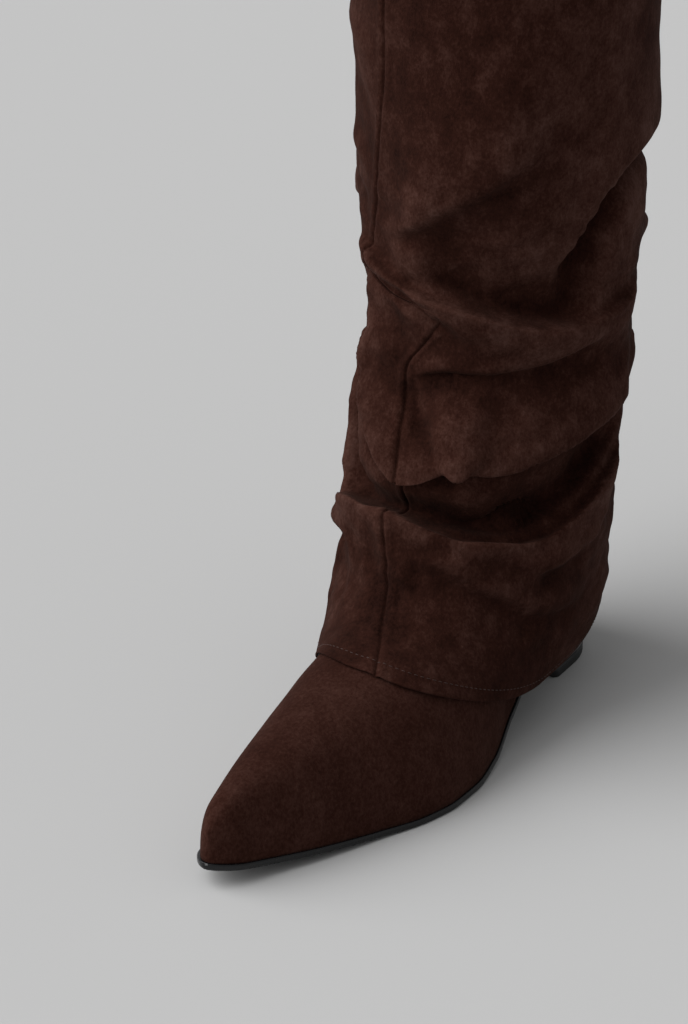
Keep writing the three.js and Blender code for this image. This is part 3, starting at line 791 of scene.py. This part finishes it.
# each seam is a groove between two swells
SEAM = {"wide": 0.7, "deep": 0.8, "swell": 0.35, "swell_at": 2.6, "swell_wide": 1.6}
aside = (np.abs(turn) * GIRTH, (np.pi - np.abs(turn)) * GIRTH)
groove = sum(np.exp(-(distance / SEAM["wide"]) ** 2) for distance in aside)
swell = sum(np.exp(-((distance - SEAM["swell_at"]) / SEAM["swell_wide"]) ** 2) for distance in aside)
surface = push(SEAM["swell"] * swell - SEAM["deep"] * groove)

# the turned edges at the hem and at the top are a little thicker
TURNED = {"hem": 5.0, "hem_fade": 1.5, "top": 10.0, "top_fade": 2.0, "thick": 0.3}
hem_edge = smooth((TURNED["hem"] - height) / TURNED["hem_fade"] + 1)
top_edge = smooth((height - (LEG - TURNED["top"])) / TURNED["top_fade"])
surface = push(TURNED["thick"] * np.minimum(hem_edge + top_edge, 1))
facing = normals(surface)


def rim(start, end, along, count=2):
    """Rings that turn round the edge of a wall from one face to the other."""
    thick = np.linalg.norm(end - start, axis=-1, keepdims=True)
    away = along / np.linalg.norm(along, axis=-1, keepdims=True) * thick / 2
    turns = [math.pi * k / (count + 1) for k in range(1, count + 1)]
    return [(start + end) / 2 + (start - end) / 2 * math.cos(a) + away * math.sin(a) for a in turns]


def sleeve(name, outer, inner, finish, inside):
    """A closed wall between two grids of points, open at both ends, with rounded edges."""
    around = outer.shape[1]
    top = rim(outer[-1], inner[-1], outer[-1] - outer[-2])
    bottom = rim(inner[0], outer[0], outer[0] - outer[1])
    rings = np.array([*outer, *top, *inner[::-1], *bottom])
    piece = make_piece(name, rings, skin(len(rings), around, True), finish)
    piece.data.materials.append(inside.material)
    first, last = len(outer) + len(top), len(outer) + len(top) + len(inner) - 1
    for polygon in piece.data.polygons:
        ring = [corner // around for corner in polygon.vertices]
        if first <= min(ring) and max(ring) <= last:
            polygon.material_index = 1
    return piece


shaft_suede = suede("shaft_suede", 1.0, 0.5)
lining = Finish("shaft_lining", IOR=1.45)
lining.shader.inputs["Specular IOR Level"].default_value = 0.25
weave = lining.noise(0.8, 2.0, (1.0, 1.0, 0.6))
rub = lining.noise(18.0, 3.0)
lining.feed(
    Base_Color=lining.blend(rub * 0.6 + weave * 0.4, (0.030, 0.013, 0.0095), (0.052, 0.026, 0.019)),
    Roughness=0.62 + 0.2 * rub,
    Normal=lining.bump(weave, 0.3, 0.0003),
)
# the lining bridges the folds instead of following them: it hangs as far in as the innermost point
# of the rows and columns around, and it follows the suede only at the hem and above the folds
BRIDGE_ROWS = 9
BRIDGE_COLUMNS = 2
LINING_ROWS = 4
LOOSE = {"start": 26, "fade_in": 14, "end": 0.74 * LEG, "fade_out": 20}
centre = np.stack([column(SHAFT, "level", name, level) for name in ("across", "middle")], -1)
spread = surface[..., :2] - centre
reach = np.linalg.norm(spread, axis=-1)
padded = np.pad(reach, ((BRIDGE_ROWS, BRIDGE_ROWS), (0, 0)), "edge")
tight = np.min([padded[k:k + LEVELS] for k in range(2 * BRIDGE_ROWS + 1)], axis=0)
beside = range(-BRIDGE_COLUMNS, BRIDGE_COLUMNS + 1)
tight = np.min([np.roll(tight, k, 1) for k in beside], axis=0) - SUEDE
plain = hem_height(angle) + level * (HEIGHT - hem_height(angle))
hanging = np.concatenate([centre + spread * (tight / reach)[..., None], plain[..., None]], -1)
loose = smooth((height - LOOSE["start"]) / LOOSE["fade_in"])
loose = (loose * smooth((LOOSE["end"] - height) / LOOSE["fade_out"]))[..., None]
inner = (surface - facing * SUEDE) * (1 - loose) + hanging * loose
inner_rows = np.unique(np.r_[np.arange(0, LEVELS, LINING_ROWS), LEVELS - 1])
shaft = sleeve("shaft_suede", surface, inner[inner_rows], shaft_suede, lining)

# how far each place stands out of or sinks into its surroundings: painted shade in the folds and hollows,
# rubbed wear and a painted sheen on the ridges
SHADE_AND_WEAR_ROWS = 7
SHADE_AND_WEAR_COLUMNS = 4
SHADE_AND_WEAR_FULL = 3.0
SHADE_AND_WEAR_FROM_HEM = 40.0
around = surface
for _ in range(3):
    around = np.mean([np.roll(around, k, 1) for k in range(-SHADE_AND_WEAR_COLUMNS, SHADE_AND_WEAR_COLUMNS + 1)], axis=0)
    padded = np.pad(around, ((SHADE_AND_WEAR_ROWS, SHADE_AND_WEAR_ROWS), (0, 0), (0, 0)), "edge")
    around = np.mean([padded[k:k + LEVELS] for k in range(2 * SHADE_AND_WEAR_ROWS + 1)], axis=0)
stands_out = np.clip(((surface - around) * facing).sum(-1) / SHADE_AND_WEAR_FULL, -1, 1)
lift = np.zeros(len(shaft.data.vertices))
lift[:level.size] = (stands_out * smooth(height / SHADE_AND_WEAR_FROM_HEM)).ravel()
# the lift attribute carries this painted shade and sheen, with the rubbed wear, into the suede's colour
shaft.data.attributes.new("lift", "FLOAT", "POINT").data.foreach_set("value", lift)
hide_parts("shaft")
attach(shaft, "root")


# ---- Stitching ----------------------------------------------------------------------------------
# Small whipped stitches hold the turned hem, and one row of stitches runs under the turned top edge.
# The thread is waxed polyester, a shade lighter than the suede.
HEM_ROW = 3.0
TOP_ROW = 7.0
STITCH = {"long": 1.7, "thick": 0.36, "pitch": 2.8, "proud": 0.05, "sink": 0.22, "even": 0.6}
# places along a stitch as shares of its length, and its thickness there
STITCH_SHAPE = ((-0.5, 0.35), (-0.3, 0.9), (0.0, 1.0), (0.3, 0.9), (0.5, 0.35))
SIDES = 6


def stitch_row(name, line, out, finish):
    """A row of stitches along a closed line of points on a surface, each sunk at both ends."""
    gaps = np.linalg.norm(np.roll(line, -1, 0) - line, axis=1)
    along = np.concatenate([[0.0], np.cumsum(gaps)])
    line, out = np.vstack([line, line[:1]]), np.vstack([out, out[:1]])

    def at(track, place):
        return np.array([np.interp(place, along, track[:, axis]) for axis in range(3)])

    points, faces = [], []
    for k in range(int(along[-1] / STITCH["pitch"])):
        first = len(points)
        for step, swell in STITCH_SHAPE:
            place = (k + 0.5) * STITCH["pitch"] + step * STITCH["long"]
            middle = at(line, place)
            ahead, normal = at(line, place + 0.5) - middle, at(out, place)
            ahead, normal = ahead / np.linalg.norm(ahead), normal / np.linalg.norm(normal)
            across = np.cross(ahead, normal)
            middle = middle + normal * (STITCH["proud"] + STITCH["sink"] * (swell - STITCH["even"]))
            for n in range(SIDES):
                a = 2 * math.pi * n / SIDES
                spoke = across * math.cos(a) + normal * math.sin(a)
                points.append(middle + spoke * (STITCH["thick"] / 2 * swell))
        faces += [tuple(first + v for v in face) for face in skin(len(STITCH_SHAPE), SIDES, False)]
        faces.append(tuple(first + n for n in range(SIDES))[::-1])
        faces.append(tuple(first + (len(STITCH_SHAPE) - 1) * SIDES + n for n in range(SIDES)))
    return make_piece(name, points, faces, finish)


thread = Finish("thread", IOR=1.45, Roughness=0.6)
twist = thread.noise(0.5, 1.0)
thread.feed(Base_Color=thread.blend(twist, (0.022, 0.0090, 0.0065), (0.055, 0.026, 0.020)))
for name, row_height in (("hem_stitches", HEM_ROW), ("top_stitches", LEG - TOP_ROW)):
    row = int(np.argmin(np.abs(levels * LEG - row_height)))
    stitches = stitch_row(name, surface[row], facing[row], thread)
    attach(stitches, "root")
